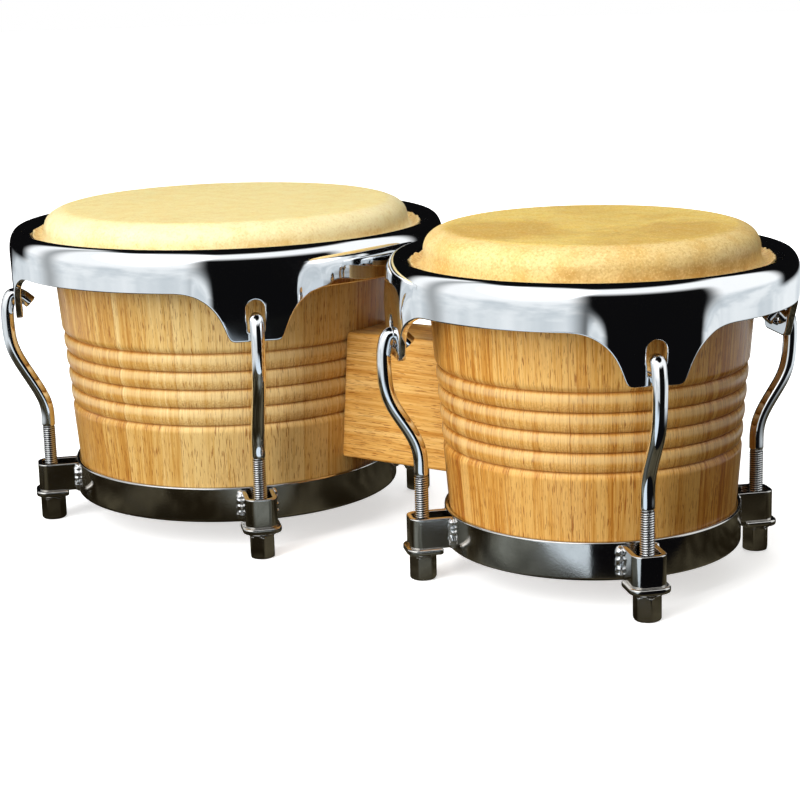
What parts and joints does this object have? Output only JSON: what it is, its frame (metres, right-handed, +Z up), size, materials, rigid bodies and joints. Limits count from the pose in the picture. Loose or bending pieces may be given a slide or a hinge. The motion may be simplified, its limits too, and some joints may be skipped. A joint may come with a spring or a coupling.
{
  "type": "bongo drums",
  "caption": "Pair of open wooden hand drums joined by a centre block, each head held by a rim and tuned from below with hooked rods and nuts.",
  "frame": {"origin": "on the floor under the middle of the pair's bounding box, in the plane of the nut bottoms", "axes": "+X from the large drum (hembra) to the small drum (macho), +Z up along both drum axes, +Y away from the side the front rods face"},
  "size_m": [0.4842, 0.258, 0.1872],
  "materials": {
    "shell_wood": "satin lacquer over light straight-grained wood",
    "block_wood": "satin lacquer, warmer tone",
    "rawhide": "matt natural hide",
    "chrome": "bright mirror plating",
    "dark_chrome": "mirror plating that reflects dark surroundings",
    "steel": "zinc-plated fastener steel",
    "brass": "plain turned brass"
  },
  "bodies": {
    "base": {"hembra_shell": "shell_wood", "hembra_bottom_ring": "dark_chrome", "hembra_skin": "rawhide", "hembra_lug_bracket_1": "dark_chrome", "hembra_washer_1": "dark_chrome", "hembra_lug_bracket_2": "dark_chrome", "hembra_washer_2": "dark_chrome", "hembra_lug_bracket_3": "dark_chrome", "hembra_washer_3": "dark_chrome", "hembra_lug_bracket_4": "dark_chrome", "hembra_washer_4": "dark_chrome", "hembra_block_bolt_lower": "steel", "hembra_bolt_washer_lower": "steel", "hembra_block_insert_lower": "brass", "hembra_block_bolt_upper": "steel", "hembra_bolt_washer_upper": "steel", "hembra_block_insert_upper": "brass", "macho_shell": "shell_wood", "macho_bottom_ring": "dark_chrome", "macho_skin": "rawhide", "macho_lug_bracket_1": "dark_chrome", "macho_washer_1": "dark_chrome", "macho_lug_bracket_2": "dark_chrome", "macho_washer_2": "dark_chrome", "macho_lug_bracket_3": "dark_chrome", "macho_washer_3": "dark_chrome", "macho_lug_bracket_4": "dark_chrome", "macho_washer_4": "dark_chrome", "macho_block_bolt_lower": "steel", "macho_bolt_washer_lower": "steel", "macho_block_insert_lower": "brass", "macho_block_bolt_upper": "steel", "macho_bolt_washer_upper": "steel", "macho_block_insert_upper": "brass", "centre_block": "block_wood"},
    "hembra_crown": {"hembra_rim": "chrome", "hembra_flesh_hoop": "steel"},
    "hembra_nut_1": {"hembra_tuning_nut_1": "dark_chrome"},
    "hembra_rod_1": {"hembra_tuning_rod_1": "chrome"},
    "hembra_nut_2": {"hembra_tuning_nut_2": "dark_chrome"},
    "hembra_rod_2": {"hembra_tuning_rod_2": "chrome"},
    "hembra_nut_3": {"hembra_tuning_nut_3": "dark_chrome"},
    "hembra_rod_3": {"hembra_tuning_rod_3": "chrome"},
    "hembra_nut_4": {"hembra_tuning_nut_4": "dark_chrome"},
    "hembra_rod_4": {"hembra_tuning_rod_4": "chrome"},
    "macho_crown": {"macho_rim": "chrome", "macho_flesh_hoop": "steel"},
    "macho_nut_1": {"macho_tuning_nut_1": "dark_chrome"},
    "macho_rod_1": {"macho_tuning_rod_1": "chrome"},
    "macho_nut_2": {"macho_tuning_nut_2": "dark_chrome"},
    "macho_rod_2": {"macho_tuning_rod_2": "chrome"},
    "macho_nut_3": {"macho_tuning_nut_3": "dark_chrome"},
    "macho_rod_3": {"macho_tuning_rod_3": "chrome"},
    "macho_nut_4": {"macho_tuning_nut_4": "dark_chrome"},
    "macho_rod_4": {"macho_tuning_rod_4": "chrome"}
  },
  "joints": [
    {"name": "hembra_rim_pull_down", "type": "slide", "parent": "base", "child": "hembra_crown", "axis": [0, 0, 1], "range_m": [-0.002, 0], "stiffness_N_per_m": 20000, "springref_m": 0.002, "deforming": ["hembra_skin"]},
    {"name": "hembra_nut_1_turn", "type": "hinge", "parent": "base", "child": "hembra_nut_1", "pos_m": [-0.03325, 0.0799, 0.0065], "axis": [0, 0, -1], "range_deg": [0, 1730]},
    {"name": "hembra_rod_1_rise", "type": "slide", "parent": "base", "child": "hembra_rod_1", "axis": [0, 0, 1], "range_m": [0, 0.006]},
    {"name": "hembra_nut_2_turn", "type": "hinge", "parent": "base", "child": "hembra_nut_2", "pos_m": [-0.19305, 0.0799, 0.0065], "axis": [0, 0, -1], "range_deg": [0, 1730]},
    {"name": "hembra_rod_2_rise", "type": "slide", "parent": "base", "child": "hembra_rod_2", "axis": [0, 0, 1], "range_m": [0, 0.006]},
    {"name": "hembra_nut_3_turn", "type": "hinge", "parent": "base", "child": "hembra_nut_3", "pos_m": [-0.19305, -0.0799, 0.0065], "axis": [0, 0, -1], "range_deg": [0, 1730]},
    {"name": "hembra_rod_3_rise", "type": "slide", "parent": "base", "child": "hembra_rod_3", "axis": [0, 0, 1], "range_m": [0, 0.006]},
    {"name": "hembra_nut_4_turn", "type": "hinge", "parent": "base", "child": "hembra_nut_4", "pos_m": [-0.03325, -0.0799, 0.0065], "axis": [0, 0, -1], "range_deg": [0, 1730]},
    {"name": "hembra_rod_4_rise", "type": "slide", "parent": "base", "child": "hembra_rod_4", "axis": [0, 0, 1], "range_m": [0, 0.006]},
    {"name": "macho_rim_pull_down", "type": "slide", "parent": "base", "child": "macho_crown", "axis": [0, 0, 1], "range_m": [-0.002, 0], "stiffness_N_per_m": 20000, "springref_m": 0.002, "deforming": ["macho_skin"]},
    {"name": "macho_nut_1_turn", "type": "hinge", "parent": "base", "child": "macho_nut_1", "pos_m": [0.19967, 0.06682, 0.0065], "axis": [0, 0, -1], "range_deg": [0, 1730]},
    {"name": "macho_rod_1_rise", "type": "slide", "parent": "base", "child": "macho_rod_1", "axis": [0, 0, 1], "range_m": [0, 0.006]},
    {"name": "macho_nut_2_turn", "type": "hinge", "parent": "base", "child": "macho_nut_2", "pos_m": [0.06603, 0.06682, 0.0065], "axis": [0, 0, -1], "range_deg": [0, 1730]},
    {"name": "macho_rod_2_rise", "type": "slide", "parent": "base", "child": "macho_rod_2", "axis": [0, 0, 1], "range_m": [0, 0.006]},
    {"name": "macho_nut_3_turn", "type": "hinge", "parent": "base", "child": "macho_nut_3", "pos_m": [0.06603, -0.06682, 0.0065], "axis": [0, 0, -1], "range_deg": [0, 1730]},
    {"name": "macho_rod_3_rise", "type": "slide", "parent": "base", "child": "macho_rod_3", "axis": [0, 0, 1], "range_m": [0, 0.006]},
    {"name": "macho_nut_4_turn", "type": "hinge", "parent": "base", "child": "macho_nut_4", "pos_m": [0.19967, -0.06682, 0.0065], "axis": [0, 0, -1], "range_deg": [0, 1730]},
    {"name": "macho_rod_4_rise", "type": "slide", "parent": "base", "child": "macho_rod_4", "axis": [0, 0, 1], "range_m": [0, 0.006]}
  ],
  "couplings": [
    {"joint": "hembra_nut_1_turn", "follows": "hembra_rod_1_rise", "rad_per_m": 5026.5},
    {"joint": "hembra_nut_2_turn", "follows": "hembra_rod_2_rise", "rad_per_m": 5026.5},
    {"joint": "hembra_nut_3_turn", "follows": "hembra_rod_3_rise", "rad_per_m": 5026.5},
    {"joint": "hembra_nut_4_turn", "follows": "hembra_rod_4_rise", "rad_per_m": 5026.5},
    {"joint": "macho_nut_1_turn", "follows": "macho_rod_1_rise", "rad_per_m": 5026.5},
    {"joint": "macho_nut_2_turn", "follows": "macho_rod_2_rise", "rad_per_m": 5026.5},
    {"joint": "macho_nut_3_turn", "follows": "macho_rod_3_rise", "rad_per_m": 5026.5},
    {"joint": "macho_nut_4_turn", "follows": "macho_rod_4_rise", "rad_per_m": 5026.5}
  ]
}
